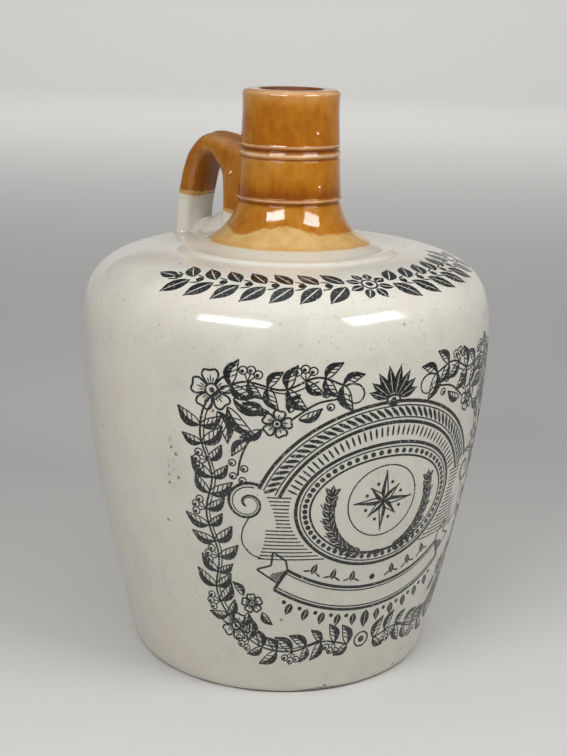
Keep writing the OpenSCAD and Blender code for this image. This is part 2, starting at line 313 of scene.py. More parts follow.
flareTopZ = lipZ - neckSizes["ridgeC"] - 2.3 * neckSizes["ridgeHalf"]


def neckWall(drop):
    # the wall's radius at a drop below the lip: the top radius down to halfway to the first ridge, then
    # growing evenly to the low radius at the last ridge
    n = neckSizes
    half, wallDrop = n["ridgeA"] / 2, n["ridgeC"] - n["ridgeHalf"]
    return n["topR"] + (n["lowR"] - n["topR"]) * np.maximum(0, drop - half) / (wallDrop - half)


def ridgedWall(z):
    # the wall plus a cosine bump for each ridge, less a full cosine dip for the groove under it
    drop, (start, end) = lipZ - z, neckSizes["groove"]
    r = np.minimum(neckWall(drop), neckSizes["lowR"])
    for centre, out in zip(ridgeDrops, ridgeOuts):
        s = (drop - centre) / neckSizes["ridgeHalf"]
        u = np.clip((s - start) / (end - start), 0, 1)
        r = r + np.where(np.abs(s) < 1, out * (1 + np.cos(np.pi * s)) / 2, 0)
        r = r - neckSizes["grooveIn"] * (1 - np.cos(2 * np.pi * u)) / 2
    return r


def flareLine(steps=90):
    # the flared foot: a cubic curve from under the last ridge, down and out to the collar's face
    low, drop, run = neckSizes["lowR"], flareTopZ - collarZ, neckSizes["flareR"] - neckSizes["lowR"]
    return bezier(
        (low, flareTopZ), (low + run * 0.11, collarZ + drop * 0.6),
        (low + run * 0.3, collarZ + drop * 0.13), (neckSizes["flareR"], collarZ), steps)


glazeLines = {
    # heights round the neck, as bearing and z: where the dip ended on the cream, and where brown ends on tan
    "creamEdge": [(-240, 148.6), (-211, 148.45), (-190, 148.55), (-165, 148.65), (-135, 148.7),
        (-105, 148.55), (-80, 148.3), (-53, 148.1), (-20, 148.4), (20, 148.8), (60, 148.6), (90, 148.7),
        (120, 148.6)],
    "brownEdge": [(-240, 153.6), (-211, 153.4), (-192, 152.2), (-179.5, 152.5), (-167, 154.2), (-155, 155.3),
        (-136, 155.5), (-123, 154.1), (-111, 152.9), (-97, 153.0), (-78, 152.2), (-53, 152.4), (-20, 153.2),
        (15, 152.3), (50, 153.4), (85, 154.4), (105, 154.2), (120, 153.6)],
    # beads of glaze on the wall by bearing and z, how far they stand out and their half width
    "beads": ((-106.4, 185.7), (-104.3, 168.0)), "beadOut": 0.5, "beadSize": 0.85,
    # how golden the glaze is at a drop below the lip: low where it ran thick, high where it is thin
    "goldAt": [(0, 0.75), (2.5, 0.85), (5, 0.5), (10, 0.3), (17, 0.2), (20, 0.0), (22.5, 0.75), (28, 0.6),
        (32, 0.3), (35, -0.15), (38.5, 0.6), (43, 0.6), (48, 0.4), (53, 0.4)],
    # where it drew thin and where it pooled, as drop below the lip, strength and half width
    "crests": list(zip(ridgeDrops, (0.9, 1.0, 0.9), (0.34, 0.62, 0.42))),
    "lip": [(0.7, 0.6, 0.9), (2.5, 0.15, 2.5)],
    "grooves": [(d + 1.4, s, w) for d, s, w in zip(ridgeDrops, (1.0, 0.85, 0.9), (0.6, 0.36, 0.45))],
}


def edgeHeight(table, deg):
    # the height at a bearing round the neck, from a smooth closed curve through the table
    line = through(table, np.linspace(0, len(table) - 1, 400))
    return np.interp((deg + 240) % 360 - 240, line[:, 0], line[:, 1])


def bells(drop, rows):
    # the sum of the rows' bells, each by its centre, strength and half width
    return sum(strength * bell(drop, centre, width) for centre, strength, width in rows)


def makeNeck():
    # turned outline, listed from the lip down over ridges, flare and collar, under it and up the bore, then
    # reversed; the radius grows by waves round the axis and for each bead by a bell round and up the wall
    n, g, rimZ = neckSizes, glazeLines, seatZ + jug["collarSlip"]
    lipR, innerZ = n["topR"] + n["lipOut"], lipZ - n["lipInnerRound"]
    boreLowZ = innerZ - n["boreLen"]
    wallZ = np.linspace(lipZ - 2 * n["lipRound"], flareTopZ, 184)
    edgeZ = collarZ - jug["collarStep"] + 0.45
    parts = [
        roundOf((n["boreR"] + n["lipInnerRound"], innerZ), n["lipInnerRound"], 180, 90),
        roundOf((lipR - n["lipRound"], lipZ - n["lipRound"]), n["lipRound"], 90, 0),
        np.column_stack([ridgedWall(wallZ), wallZ]),
        flareLine(64)[1:-2],
        [[n["flareR"] + 0.5, collarZ + 0.02], [n["flareR"] + 1.2, collarZ]],
        bezier((jug["collarR"] - 1.9, collarZ), (jug["collarR"] - 1.2, collarZ),
            (jug["collarR"] - 0.6, edgeZ + 0.34), (jug["collarR"], edgeZ), 10),
        [[jug["collarR"], rimZ], [throatR - jug["fit"], rimZ], [throatR - jug["fit"], ceilingZ]],
        bezier((throatR - jug["wall"] / 2, ceilingZ), (throatR * 0.55, ceilingZ),
            (n["boreR"], boreLowZ - (boreLowZ - ceilingZ) * 0.45), (n["boreR"], boreLowZ), 24),
        np.linspace((n["boreR"], boreLowZ + 1), (n["boreR"], innerZ - 1), 16),
    ]
    profile, ends = outlineOf(parts)
    low, boreEnd = ends[5], ends[7] - 23
    profile, sharp = profile[::-1], [len(profile) - 1 - e for e in (low, low + 1, low + 2, low + 3, boreEnd)]
    theta, r, z = np.radians(aroundDeg), profile[:, None, 0], profile[:, None, 1]
    onCollar = (z > collarZ - jug["collarT"] - 1) & (r > n["lowR"] - 1)
    outside = (r > n["boreR"] + 2.8) & ((z > flareTopZ) | onCollar)
    drop, goldAt = lipZ - z, np.array(g["goldAt"])
    rim = bell(r, n["boreR"] + n["lipInnerRound"] + 1.0, 1.2) * (z > lipZ - 0.6)
    values = {
        "dip": np.where(outside, z - edgeHeight(g["creamEdge"], aroundDeg), 30),
        "brown": np.where(outside, z - edgeHeight(g["brownEdge"], aroundDeg), 30),
        "thin": np.where(outside, np.clip(bells(drop, g["crests"] + g["lip"]), 0, 1), 0.5 * rim),
        # outside, glaze pooled in the grooves; elsewhere, except on the lip's inner round, it is full:
        # painted shade inside the mouth
        "pooledAndMouthShade": np.where(outside, np.clip(bells(drop, g["grooves"]), 0, 1), 1.25 - rim),
        "gold": np.interp(drop, goldAt[:, 0], goldAt[:, 1]),
    }
    free = outside * smoothStep(z, flareTopZ, flareTopZ + 2)
    climb = n["climb"] * np.sin(3 * theta + z * n["climbTurn"])
    offset = free * (n["oval"] * np.cos(2 * theta + np.radians(20)) + climb)
    for atDeg, atZ in g["beads"]:
        across = degreesFrom(atDeg, aroundDeg) * np.radians(n["topR"])   # mm round the wall
        offset = offset + free * g["beadOut"] * bell(across, 0, g["beadSize"]) * bell(z, atZ, g["beadSize"])
    neck = turned("neck_glazed", profile, True, sharp, values, offset)
    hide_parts("neck")
    return neck


# Handle and its clay pad

strap = {
    "width": 16.4, "round": 4.2, "backRound": 7.2, "backLong": 1.6, "roundMost": 0.98, "crown": 0.5,
    "legT": 7.3, "legOff": 4.8, "archH": 36.2, "nearLegT": 8.0, "loopH": 29.0,
    "neckFillet": 1.8, "footFillet": 1.0,
    # a thick drip of glaze on the near leg: its y and z, half width, half height and how far it stands out
    "drip": (20.5, 169.2, 1.2, 1.9, 1.3),
    # the dip's edge on the legs: its z at a y, its slope along y, and the tan band's height under the brown;
    # across the strap both edges wave, by a size and a turn a mm
    "edgeZ": 155.8, "edgeY": 22.0, "edgeSlope": 0.1875, "band": 1.6,
    "edgeWave": (0.2, 0.55), "bandWave": (0.15, 0.9),
    # the glaze: thin at the corners, pooled, golden, pale below the dip as painted light, painted shade near
    # the foot
    # the handle's cream below the dip is made paler, a painted light on the leg
    # the outer leg's lower gold is painted shade, the shade under the arch
    "thin": 0.3, "pooledAndMouthShade": 0.12, "goldNear": 0.45, "goldFarShaded": 0.15, "paintedLightPale": 0.5,
    "jointShadeAndStreaks": 0.7, "jointShadeReach": 1.2,
}
loopNear = neckSizes["lowR"] + strap["nearLegT"]
loopFar = jug["collarR"] + strap["legOff"]
middleY = (loopNear + loopFar) / 2
handleReach = loopFar + strap["legT"]
loopShare = [
    (0.045, -0.1), (0.01, 0.28), (0, 0.53), (0.035, 0.76), (0.19, 0.9), (0.42, 1),
    (0.6, 0.91), (0.74, 0.75), (0.835, 0.56), (0.945, 0.265), (1, -0.15),
]
backShare = [
    (0.12, 0.5), (0.12, 0.6), (0.12, 0.7), (0.15, 0.84), (0.3, 0.93), (0.66, 1),
    (0.832, 0.851), (0.901, 0.67), (0.937, 0.5), (0.976, 0.246), (1, -0.12),
]


def aboveGround(p):
    # how high places are above the flare, the collar's face and the shoulder, by their radius
    r, dome, flare = np.hypot(p[..., 0], p[..., 1]), domeLine(0)[::-1], flareLine()
    onDome, onFlare = (np.interp(r, line[:, 0], line[:, 1]) for line in (dome, flare))
    ground = np.where(r > jug["collarR"], onDome, np.where(r > neckSizes["flareR"], collarZ, onFlare))
    return p[..., 2] - ground


def makeHandle():
    # a strap carried along the arch: each ring lies between a place on the finger loop and one on the back,
    # as a box with round corners and crowned faces; near the neck and the foot it swells into hollow fillets,
    # by the fillet's size times the square of how far into its reach it is; the drip is a bell of y and z
    h = strap
    loop = [(loopNear + (loopFar - loopNear) * a, collarZ + h["loopH"] * b) for a, b in loopShare]
    back = [(handleReach * a, collarZ + h["archH"] * b) for a, b in backShare]
    t = np.linspace(0, len(loop) - 1, 200)
    a, b = through(loop, t), through(back, t)
    half = np.linalg.norm(a - b, axis=1)[:, None] / 2
    across = (a - b) / (2 * half)
    one, corner = np.ones(12), np.linspace(0, 90, 12)
    side, face = np.linspace(1, -1, 32)[1:-1], np.linspace(1, -1, 12)[1:-1]
    shareA = np.r_[one, side, -one, 0 * face - 1, -one, -side, one, 0 * face + 1][None, :]
    shareB = np.r_[one, 0 * side + 1, one, face, -one, 0 * side - 1, -one, -face][None, :]
    turn = np.radians(np.r_[corner, 0 * side + 90, corner + 90, 0 * face + 180,
        corner + 180, 0 * side + 270, corner + 270, 0 * face])[None, :]
    edge = np.minimum(np.where(shareA < 0, h["backRound"], h["round"]), half * h["roundMost"])
    edgeOut = np.where(shareA < 0, np.minimum(h["backRound"], edge * h["backLong"]), edge)
    along0 = shareA * (half - edge) + edge * np.cos(turn) + h["crown"] * np.cos(turn) * (1 - shareB ** 2)
    out0 = shareB * (h["width"] / 2 - edgeOut) + edgeOut * np.sin(turn)

    def placed(grow):
        # the skin grown outwards: from the middle line along the way from back to loop, and out to the sides
        along, out = along0 + grow * np.cos(turn), out0 + grow * np.sin(turn)
        m = ((a + b) / 2)[:, None, :] + across[:, None, :] * along[..., None]
        return np.stack([out, m[..., 0], m[..., 1]], -1)

    p = placed(0 * along0)
    neckGap = np.hypot(p[..., 0], p[..., 1]) - neckWall(lipZ - p[..., 2])
    grow = h["neckFillet"] * np.clip(1 - neckGap / h["neckFillet"], 0, 1) ** 2
    footShare = (p[..., 1] > middleY) * np.clip(1 - aboveGround(p) / h["footFillet"], 0, 1) ** 2
    dripY, dripZ, dripWide, dripHigh, dripOut = h["drip"]
    drip = bell(p[..., 1], dripY, dripWide) * bell(p[..., 2], dripZ, dripHigh) * (p[..., 0] < 0)
    p = placed(grow + h["footFillet"] * footShare + dripOut * drip)[:, ::-1]
    x, y, z = np.moveaxis(p, -1, 0)
    near, corners = y < middleY, np.abs(np.sin(2 * turn))[:, ::-1]
    dip = z - h["edgeZ"] - h["edgeSlope"] * (y - h["edgeY"])
    edgeWave, bandWave = (size * np.sin(x * turnMm) for size, turnMm in (h["edgeWave"], h["bandWave"]))
    values = {
        "dip": dip - edgeWave, "brown": dip - h["band"] - bandWave,
        "thin": h["thin"] * corners * near, "pooledAndMouthShade": h["pooledAndMouthShade"],
        # lower gold on the outer leg: painted shade under the arch
        "gold": np.where(near, h["goldNear"], h["goldFarShaded"]), "paintedLightPale": h["paintedLightPale"],
        # painted shade, darker where the handle meets the ground
        "jointShadeAndStreaks": h["jointShadeAndStreaks"] * np.clip(1 - aboveGround(p) / h["jointShadeReach"], 0, 1),
    }
    piece = gridMesh("handle_glazed", p, False, (), values)
    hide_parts("handle")
    return piece


pad = {
    "high": 4.4, "wide": 27.0, "power": 1.6, "under": 2.5, "lean": 1.5, "leanOver": (0.15, 0.9),
    # shares of the height and of half the width, from the near leg to the outer one
    "crestShare": (2.6, 2.15, 1.65, 1.25, 1.0, 0.85), "widthShare": (0.55, 0.68, 0.75, 0.73, 0.66, 0.52),
    "waves": ((0.12, 19, 2.2), (0.1, 7, -5)),   # each by its size and its turns along and across the pad
    # painted shade in its edge's groove and streaks in thin lines over it, as centre, strength and half width
    "edgeShade": [(0.1, 0.9, 0.35)], "lineDirt": [(1, 0.35, 0.12)], "lineTurns": (0.8, 0.5),
}


def makePad():
    # smeared clay between the feet: across it, the crest's height times a power of the cosine from -90 to 90
    # degrees; the crest falls from the near leg to the outer one and leans a little to the far side there
    near, far = loopNear - strap["round"] / 2, loopFar + strap["round"] / 2
    s, u = np.linspace(0, 1, 90)[:, None], np.linspace(1, -1, 81)[None, :]
    shares = through(list(zip(pad["crestShare"], pad["widthShare"])), s[:, 0] * (len(pad["crestShare"]) - 1))
    half = pad["wide"] / 2 * shares[:, 1:]
    wave = sum(size * np.sin(s * lengthwise + u * sideways) for size, lengthwise, sideways in pad["waves"])
    crest = pad["high"] * shares[:, :1] + jug["collarStep"] + wave
    lean, base = pad["lean"] * smoothStep(s, *pad["leanOver"]), collarZ - jug["collarStep"]
    y = near + (far - near) * s + 0 * u
    ring = np.stack([half * u + lean, y, base + crest * np.cos(u * np.pi / 2) ** pad["power"]], -1)
    under = np.stack([half * np.array([[-1, 1]]) + lean, y[:, :2], 0 * y[:, :2] + base - pad["under"]], -1)
    points = np.concatenate([ring, under], 1)[:, ::-1]
    lines = np.sin(points[..., :2] @ np.array(pad["lineTurns"]))
    # painted shade where the pad meets the ground, and streaks over it
    jointShadeAndStreaks = bells(aboveGround(points), pad["edgeShade"]) + bells(lines, pad["lineDirt"])
    values = {"dip": -5.0, "brown": -9.0, "jointShadeAndStreaks": np.clip(jointShadeAndStreaks, 0, 1)}
    piece = gridMesh("handle_pad_glazed", points, False, (), values)
    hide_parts("handle_pad")
    return piece


pieces = {
    "pot": makeLowerPot(), "shoulder": makeShoulder(), "neck": makeNeck(),
    "handle": makeHandle(), "pad": makePad(),
    "bellySlip": makeSlip("belly_slip_glazed", "belly_slip", splitR, jug["bellyR"],
        jug["seamZ"] - jug["seamSlip"] / 2, jug["seamZ"] + jug["seamSlip"] / 2),
    "collarSlip": makeSlip("collar_slip_glazed", "collar_slip", throatR, jug["collarR"],
        seatZ, seatZ + jug["collarSlip"]),
}
print("stage: pots, neck, handle and slip made")


# Transfer print: strokes of an engraver's pen, laid on the skin as thin closed ribbons

printPlan = {
    "centreDeg": -111.3, "middleZ": 69.5, "refR": 69.0,
    "lift": 0.045, "sink": 0.05, "fine": 0.42, "line": 0.66, "bold": 1.1, "least": 0.02, "step": 0.75,
    "ovalX": 30.0, "ovalY": 22.0, "ovalAt": 3.0, "archLow": 38.0, "archHigh": 45.0, "archAt": -6.0,
    "bannerAt": 34.0, "bannerLow": 71.0, "bannerHigh": 62.0, "leafLong": 8.2, "leafWide": 3.8,
    "garlandDeg": -113.0, "garlandR": 57.3, "garlandHalf": 66.0, "garlandLeaf": 10.4, "garlandStep": 8.4,
}
fine, plain, bold = printPlan["fine"], printPlan["line"], printPlan["bold"]
sideSteps = 400   # places of the skin's outline up to the belly
skinLine = np.vstack([sideLine(0, sideSteps), domeLine(0, 300)[1:]])
skinLength = np.r_[0, np.cumsum(np.linalg.norm(np.diff(skinLine, axis=0), axis=1))]


def onSkin(theta, s, lift):
    # the place at an angle and a length up the outline, moved off the glaze by the lift along its normal
    r, z = (np.interp(s, skinLength, skinLine[:, k]) for k in (0, 1))
    slope = [np.interp(s, skinLength, np.gradient(skinLine[:, k], skinLength)) for k in (0, 1)]
    size = np.hypot(*slope)
    out = r + wobble(theta, z) + slope[1] / size * lift
    return np.stack([out * np.cos(theta), out * np.sin(theta), z - slope[0] / size * lift], -1)


def ruled(points, width, taper=0.0):
    # straight from point to point; the half width falls to the ends by the taper times a sine, power 0.7
    line = resample(points, printPlan["step"])
    t = np.linspace(0, 1, len(line))
    return line, width / 2 * (1 - taper + taper * np.sin(np.pi * t) ** 0.7) + printPlan["least"]


def stroke(points, width, taper=0.0):
    # the same in a smooth curve through the points
    return ruled(through(points, np.linspace(0, len(points) - 1, 16 * len(points))), width, taper)


def oval(cx, cy, rx, ry, width, fromDeg=0.0, toDeg=360.0):
    # an oval or a part of one: the centre plus its radii times the cosine and the sine
    a = np.radians(np.linspace(fromDeg, toDeg, 90))
    return ruled(np.column_stack([cx + rx * np.cos(a), cy + ry * np.sin(a)]), width)


def dot(x, y, radius):
    # a disc as a ribbon along its own diameter, its half width the root of radius squared less place squared
    u = np.sin(np.linspace(-np.pi / 2, np.pi / 2, 9)) * radius
    half = np.sqrt(np.maximum(radius ** 2 - u ** 2, 0)) + printPlan["least"]
    return np.column_stack([x + u, y + 0 * u]), half


def ringed(x, y, radius, width, eye):
    # a ring with a dot in its middle
    return [oval(x, y, radius, radius, width), dot(x, y, eye)]


def spiral(cx, cy, fromR, toR, fromDeg, toDeg, width):
    # a line about a centre whose radius changes evenly with its turn, thinner to its end
    places = polar(cx, cy, np.linspace(fromR, toR, 80), np.linspace(fromDeg, toDeg, 80))
    line, half = ruled(np.column_stack(places), width)
    return line, half * np.linspace(1, 0.55, len(half))


def lens(x, y, deg, length, wide, gap=0.25):
    # a solid petal in two halves with its vein left bare: each half swells as the sine of its length
    t = np.linspace(0, 1, 11)[:, None]
    ahead, aside = (np.array([polar(0, 0, 1, deg + turn)]) for turn in (0, 90))
    swell = np.sin(np.pi * t ** 0.85)
    quarter = np.maximum(wide / 4 * swell - gap / 4, printPlan["least"])
    vein = np.array([[x, y]]) + ahead * length * t
    return [(vein + k * aside * (quarter + gap / 2 * swell), quarter[:, 0]) for k in (-1, 1)]


def leaf(x, y, deg, length, wide, side=1):
    # an engraved leaf on a bent rib: one half solid, the other an outline with veins
    t = np.linspace(0, 1, 12)[:, None]
    ahead, aside = np.array([polar(0, 0, 1, deg)]), np.array([polar(0, 0, side, deg + 90)])
    rib = np.array([[x, y]]) + ahead * length * t + aside * 0.12 * length * np.sin(np.pi * t)
    swell = wide / 2 * np.sin(np.pi * t ** 0.8)
    quarter = np.maximum(swell / 2 - 0.08, printPlan["least"])
    solid = (rib + aside * (quarter + 0.2), quarter[:, 0])
    parts = [solid, ruled(rib, fine), ruled(rib - aside * swell, fine)]
    for k in (3, 5, 7):
        parts.append(ruled([rib[k], rib[k + 2] - aside[0] * swell[k + 2] * 0.85], fine * 0.8))
    return parts


def leaves(rows, wide):
    # leaves of one width, each by its place, bearing, length and side
    return [part for x, y, deg, length, side in rows for part in leaf(x, y, deg, length, wide, side)]


def berry(x, y, radius):
    # an outlined berry with a dark eye
    return [oval(x, y, radius, radius, fine), dot(x + radius * 0.2, y - radius * 0.2, radius * 0.45)]


def blossom(x, y, radius, turn=0.0):
    # five petals: each an open loop about its own heading, hatched towards a dotted heart
    loop = ((0.34, -32), (0.8, -29), (1.0, -16), (0.93, 0), (1.0, 16), (0.8, 29), (0.34, 32))
    strokes = ringed(x, y, radius * 0.3, plain, radius * 0.13)
    for deg in np.arange(5) * 72 + turn:
        strokes.append(stroke([polar(x, y, f * radius, deg + g) for f, g in loop], plain))
        for g, far in ((0, 0.72), (-14, 0.6), (14, 0.6)):
            strokes.append(ruled([polar(x, y, f * radius, deg + g) for f in (0.36, far)], fine, 0.5))
    return strokes


def along(points, spacing):
    # places at even spacing along a line, each with the heading there
    line = resample(through(points, np.linspace(0, len(points) - 1, 40 * len(points))), spacing)
    heading = np.degrees(np.arctan2(*np.gradient(line, axis=0)[:, ::-1].T))
    return [(x, y, deg) for (x, y), deg in zip(line, heading)]


def mirrored(strokes):
    # the same strokes with their places across the middle changed in sign
    return [(line * np.array([[-1, 1]]), half) for line, half in strokes]


def vineStrokes():
    # the right-hand border: a wavy double stem with leaves on both sides, berries at every third node and a
    # blossom in each corner, where the stem is bare
    stem = [(6, -51.5), (17, -49), (29, -52.5), (42, -50.5), (51.5, -42), (57.5, -30), (56, -15), (59.5, 0),
        (57, 14), (60.5, 28), (57.5, 40), (47, 46.5), (35, 44.5), (25, 48.5), (17, 46)]
    long, wide = printPlan["leafLong"], printPlan["leafWide"]
    strokes = [stroke(stem, plain), spiral(13.4, 42.2, 4.4, 1.2, 46, 400, plain),
        stroke([(x * 0.985 - 0.3, y * 0.975) for x, y in stem[1:-1]], fine)]
    for k, (x, y, deg) in enumerate(along(stem, 5.9)):
        if 53 < x and 36 < y < 46 or 46 < x < 55 and y < -40:
            continue
        for side in (-1, 1):
            if k % 3 == 1 and side == -1:
                for berryDeg in (deg - 38, deg - 75, deg - 112):
                    strokes += berry(*polar(x, y, 3.9, berryDeg), 1.3)
                    strokes.append(ruled([(x, y), polar(x, y, 2.73, berryDeg)], 0.38))
            else:
                size, lean = 1 + 0.16 * np.sin(1.9 * k + side), side * (52 + 6 * np.sin(k))
                strokes += leaf(x, y, deg + lean, long * size, wide * size, side)
    strokes += blossom(56.5, 43.0, 6.8, 12) + blossom(51.0, -43.0, 5.6, 40)
    return strokes + leaves([(*polar(56.5, 43, 7, deg), deg, length, side)
        for deg, length, side in ((198, 11.5, 1), (226, 13.0, 1), (254, 11.0, -1))], 4.6)


def sprayStrokes():
    # the right-hand filling: a spray between border and arch, and one between border and ribbon
    strokes = blossom(36.5, 33.4, 4.6, 30) + leaves(((40.5, 36.0, 30, 7.6, 1), (33.0, 37.2, 118, 6.8, -1),
        (30.0, 34.8, 152, 8.0, 1), (41.0, 31.0, -22, 7.4, -1), (45.5, 27.4, -50, 7.6, 1)), 3.4)
    strokes += [stroke([(41, 31.5), (45, 27), (47.5, 21), (48.5, 15)], plain),
        stroke([(32, 35), (25, 40), (18.5, 41.5)], plain)]
    for x, y in ((46.4, 17.6), (50.2, 19.4), (47.0, 13.4), (50.0, 14.8), (22.0, 43.2), (20.5, 38.9)):
        strokes += berry(x, y, 1.15)
    return strokes + blossom(44.5, -33.0, 3.9, 10) + leaves(((47.5, -30.0, 52, 6.4, 1),
        (46.0, -37.0, -70, 6.4, -1), (41.0, -36.5, -130, 6.4, 1)), 3.0)


def medallionStrokes():
    # a beaded oval with an eight-point star between two ears of barley
    cy, rx, ry = printPlan["ovalAt"], printPlan["ovalX"], printPlan["ovalY"]
    starY = cy + 1.5
    strokes = [oval(0, cy, rx - d, ry - d, width) for d, width in ((0, bold), (1.4, fine), (4.6, plain))]
    for a in np.radians(np.arange(0, 360, 6)):
        strokes.append(dot((rx - 2.95) * np.cos(a), cy + (ry - 2.95) * np.sin(a), 0.85))
    for k in range(16):
        deg, long = k * 22.5, (11.0, 4.6, 7.6, 4.6)[k % 4]
        if k % 2 == 0:
            side, t = np.array([polar(0, 0, 1, deg + 90)]), np.linspace(0, 1, 12)[:, None]
            wide = 1.35 * np.minimum(t / 0.28, (1 - t) / 0.72)
            line = np.array([[0, starY]]) + np.array([polar(0, 0, long, deg)]) * t
            strokes += [(line + side * wide / 2, np.maximum(wide[:, 0] / 2, printPlan["least"])),
                ruled(line - side * wide, fine), ruled(line, fine * 0.8)]
        else:
            strokes.append(dot(*polar(0, starY, long * 1.5, deg), 0.6))
    strokes.append(oval(0, starY, 12.8, 12.8, fine))
    stem = [(1.5, -15), (9, -13.5), (15.5, -8), (18.8, 0), (18.5, 8)]
    ear = [stroke(stem, fine)]
    for k, (x, y, deg) in enumerate(along(stem, 2.5)[2:]):
        for side in (-1, 1):
            ear += lens(x, y, deg + side * 34, 3.8, 1.9, 0.2)
            if k % 2 == 0:
                ear.append(ruled([polar(x, y, reach, deg + side * 24) for reach in (3.3, 6.0)], 0.34))
    ear += lens(18.5, 8, 95, 4.4, 1.9)
    return strokes + ear + mirrored(ear) + lens(-2.4, -15.2, 12, 4.8, 1.8) + lens(2.4, -15.2, 168, 4.8, 1.8)


def archStrokes():
    # a roped arch over the oval with rays under it, a palmette on top and a volute at each end
    low, high, cy = printPlan["archLow"], printPlan["archHigh"], printPlan["archAt"]
    top = cy + high
    strokes = [oval(0, cy, r, r, width, 22, 158) for r, width in
        ((low, bold), (low + 1.5, fine), (high - 1.5, fine), (high, bold))]
    for deg in np.arange(24, 157, 3.4):
        strokes.append(stroke([polar(0, cy, r, deg + turn) for r, turn in
            ((low + 1.9, -2.2), ((low + high) / 2, 0), (high - 1.9, 2.2))], 1.2, 0.75))
    for deg in np.arange(28, 153, 3.2):
        strokes.append(ruled([polar(0, cy, low - d, deg) for d in (4.6, 1.1)], 0.7, 0.6))
    for deg in np.arange(20, 161, 20):
        long, a = 10.6 - 3.6 * abs(deg - 90) / 70, np.radians(deg)
        strokes += lens(2.2 * np.cos(a), top + 1 + 1.2 * np.sin(a), deg, long, 2.9)
    strokes += [oval(0, top + 0.6, 2.4, 1.6, plain), dot(0, top + 0.6, 0.9)]
    end = [spiral(45.4, 5.4, 7.6, 1.0, 118, -420, bold), spiral(45.4, 5.4, 6.1, 1.0, 110, -380, fine),
        stroke([(40.2, -15), (44.5, -13.4), (47.4, -9.4), (47.2, -4.4), (44.9, 0.6)], fine)]
    for y in np.arange(-15, 9.0, 1.35):
        edge = printPlan["ovalX"] * np.sqrt(1 - ((y - printPlan["ovalAt"]) / printPlan["ovalY"]) ** 2) + 2.2
        end.append(ruled([(edge, y), (36.2 + 0.022 * (y + 4) ** 2 + 3.4 * (y < -3), y)], 0.4))
    return strokes + end + mirrored(end)


def onArc(deg, r):
    # a place on an arc of the ribbon, by its bearing from straight down and its radius
    return polar(0, printPlan["bannerAt"], r, deg - 90)


def bannerStrokes():
    # a blank ribbon on an arc about a point above it, folded back at its ends, with bell flowers under it and
    # sprigs over it
    low, high = printPlan["bannerLow"], printPlan["bannerHigh"]
    strokes = [ruled([onArc(deg, r) for deg in np.linspace(-31, 31, 30)], width) for r, width in
        ((low, bold), (low - 1.3, fine), (high, bold), (high + 1.3, fine))]
    fold = ((31, low - 2.8), (38.8, low - 2.8), (36.2, (low + high) / 2 - 2.8), (38.8, high - 2.8),
        (33.4, high - 2.8), (31, high))
    end = [ruled([onArc(31, low), onArc(31, high)], bold), ruled([onArc(deg, r) for deg, r in fold], plain)]
    for deg in np.arange(31.7, 34.6, 0.6):
        end.append(ruled([onArc(deg, low - 3.4), onArc(deg, low - 3.4 - 5.0 * (1 - (deg - 31.7) / 4))], 0.42))
    for deg in np.arange(4, 29, 5.0):
        x, y = onArc(deg, low + 3.0)
        end += lens(x, y + 1.2, -90 + deg, 5.2, 2.8) + [dot(*onArc(deg + 2.5, low + 2.6), 0.8)]
    for deg in (8.2, 15.7, 23.2):
        end += lens(*onArc(deg, high - 2.4), 90 + deg, 4.4, 2.2)
        end += [ruled([onArc(deg + k * 3.0, high - 2.4), onArc(deg + k, high - 3.4)], 0.55) for k in (-1, 1)]
    x, y = onArc(0, low + 3.2)
    strokes += lens(x, y + 2, -90, 7.4, 3.8) + [dot(0, printPlan["bannerAt"] - high + 3.4, 1.1)]
    return strokes + ringed(0, -50.5, 3.0, plain, 1.3) + end + mirrored(end)


def garlandStrokes():
    # bold laurel on the shoulder: pairs of leaves with a berry between, out from a rosette
    p = printPlan
    half = []
    for x in np.arange(9.5, p["garlandHalf"] - 2, p["garlandStep"]):
        for side in (-1, 1):
            half += lens(x - 1.2, side * 0.9, side * 50, p["garlandLeaf"], 5.3, 0.45)
            half.append(ruled([(x + 3.6, side * 1.6), (x + 6.6, side * 2.6)], 0.65, 0.5))
        half.append(dot(x + 4.2, 0, 1.35))
    half += lens(p["garlandHalf"] - 1.5, 0, 0, 8.5, 4.4, 0.45)
    rosette = ringed(0, 0, 2.6, plain, 1.3)
    for deg in np.arange(8) * 45 + 22.5:
        rosette += lens(*polar(0, 0, 3.0, deg), deg, 5.0, 3.3, 0.35)
    return half + mirrored(half) + rosette


def ribbonMesh(name, strokes, centreDeg, refR, middle):
    # each stroke is a flat closed ribbon: rings of right, middle and left above the glaze, the same below it
    points, faces, count = [], [], 0
    lift = np.array([printPlan["lift"]] * 3 + [-printPlan["sink"]] * 3)[None, :]
    for line, half in strokes:
        run = np.gradient(line, axis=0)
        run = run / np.maximum(np.linalg.norm(run, axis=1, keepdims=True), 1e-9)
        aside = np.column_stack([-run[:, 1], run[:, 0]]) * half[:, None]
        flat = np.stack([line - aside, line, line + aside, line + aside, line, line - aside], 1)
        theta, last = np.radians(centreDeg) + flat[..., 0] / refR, count + (len(line) - 1) * 6
        points.append(onSkin(theta, middle + flat[..., 1], lift).reshape(-1, 3))
        faces += ringFaces(len(line), 6, count)
        faces += [list(range(count, count + 6)), list(range(last + 5, last - 1, -1))]
        count += len(line) * 6
    print("stage:", name, len(strokes), "strokes,", len(faces), "faces")
    return newPiece(name, np.vstack(points), faces, False)


def lengthAt(column, value):
    # the length up the outline where it reaches a height, or beyond the belly a radius
    if column == "z":
        return float(np.interp(value, skinLine[:, 1], skinLength))
    return float(np.interp(-value, -skinLine[sideSteps:, 0], skinLength[sideSteps:]))


